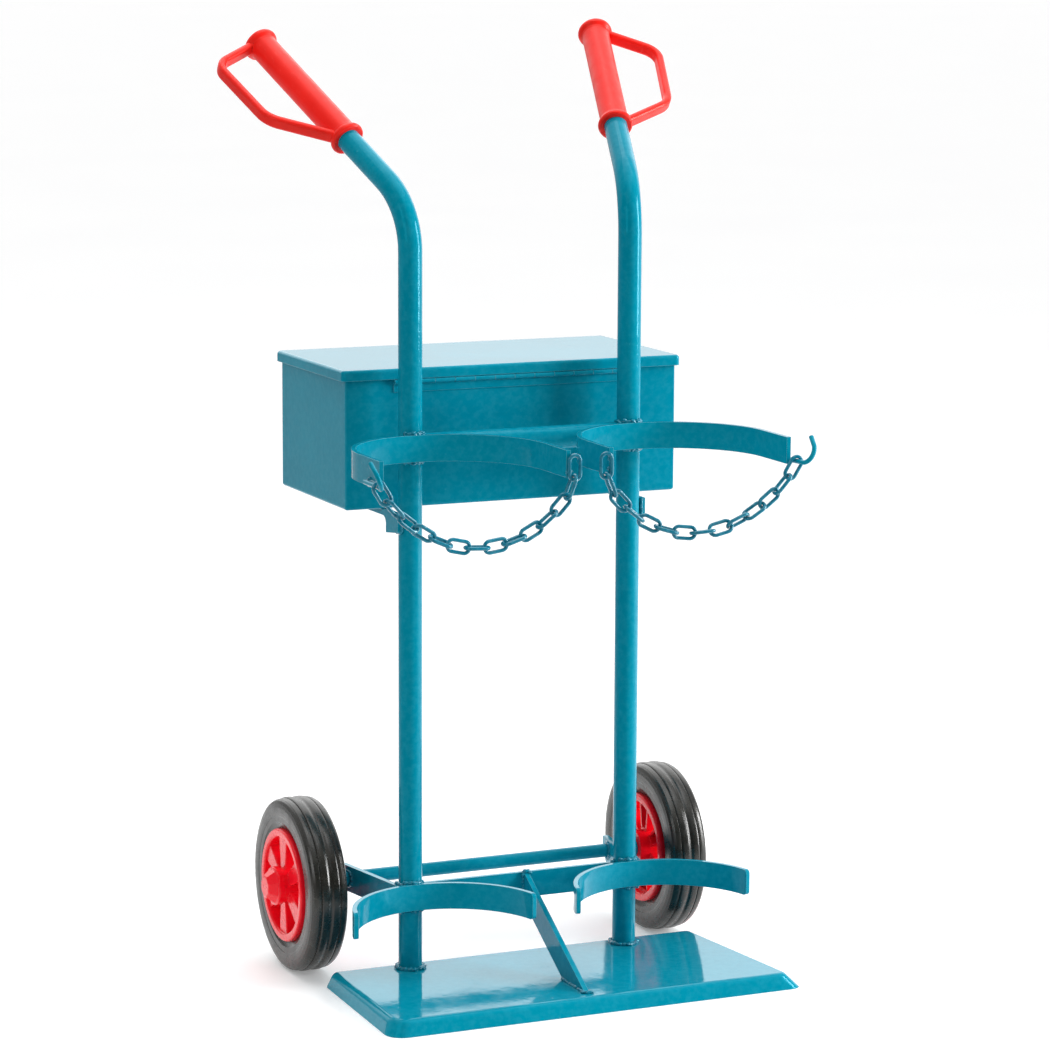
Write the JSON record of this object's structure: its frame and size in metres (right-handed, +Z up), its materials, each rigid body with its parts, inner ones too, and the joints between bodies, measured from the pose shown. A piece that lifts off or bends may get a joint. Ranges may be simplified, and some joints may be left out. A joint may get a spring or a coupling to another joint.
{
  "type": "welding gas bottle cart",
  "caption": "Wheeled cart for two gas bottles: plate base, tube uprights with splayed grips, bottle hoops with hanging chains, spoked wheels and a lidded toolbox.",
  "frame": {"origin": "on the floor, under the middle of the whole cart's bounding box", "axes": "+Z up, +Y to the back where the handles and wheels are, +X to the right as seen from the front (-Y), where the bottles stand; left and right in names are as seen from there"},
  "size_m": [0.556, 0.4937, 1.076],
  "materials": {
    "paint": "gloss",
    "tyre": "moulded",
    "rim": "gloss",
    "grip": "satin",
    "chain": "gloss",
    "spring": "phosphated",
    "bush": "natural"
  },
  "bodies": {
    "frame": {"base_plate": "paint", "cross_tube_upper": "paint", "cross_bar_lower": "paint", "diagonal_brace": "paint", "toolbox_body": "paint", "hinge_leaf_box": "paint", "axle": "paint", "hinge_pin": "paint", "upright_left": "paint", "upright_right": "paint", "hoop_left": "paint", "hoop_right": "paint", "cradle_left": "paint", "cradle_right": "paint", "chain_hook_left": "paint", "chain_hook_right": "paint", "axle_bracket_left": "paint", "axle_bracket_right": "paint", "toolbox_gusset_left": "paint", "toolbox_gusset_right": "paint", "chain_anchor_link_left": "chain", "chain_anchor_link_right": "chain", "hub_cap_left": "rim", "hub_cap_right": "rim", "grip_left": "grip", "grip_right": "grip", "axle_spacer_left": "paint", "axle_spacer_right": "paint", "axle_lock_ring_left": "spring", "axle_lock_ring_right": "spring"},
    "wheel_left": {"tyre_left": "tyre", "wheel_rim_left": "rim", "wheel_bush_left": "bush"},
    "wheel_right": {"tyre_right": "tyre", "wheel_rim_right": "rim", "wheel_bush_right": "bush"},
    "lid": {"toolbox_lid": "paint", "hinge_leaf_lid": "paint"},
    "chain_left": {"chain_left": "chain"},
    "chain_right": {"chain_right": "chain"}
  },
  "joints": [
    {"name": "wheel_left_spin", "type": "hinge", "parent": "frame", "child": "wheel_left", "pos_m": [-0.226, 0.07753, 0.1], "axis": [1, 0, 0], "continuous": true},
    {"name": "wheel_right_spin", "type": "hinge", "parent": "frame", "child": "wheel_right", "pos_m": [0.226, 0.07753, 0.1], "axis": [1, 0, 0], "continuous": true},
    {"name": "lid_hinge", "type": "hinge", "parent": "frame", "child": "lid", "pos_m": [0.005, -0.00067, 0.6844], "axis": [1, 0, 0], "range_deg": [0, 80]},
    {"name": "chain_left_swing", "type": "hinge", "parent": "frame", "child": "chain_left", "pos_m": [-0.0188, -0.21652, 0.5981], "axis": [0.9987, 0.0256, -0.0446], "range_deg": [-30, 20]},
    {"name": "chain_right_swing", "type": "hinge", "parent": "frame", "child": "chain_right", "pos_m": [0.0188, -0.21652, 0.5981], "axis": [0.9987, -0.0256, 0.0446], "range_deg": [-30, 20]}
  ]
}
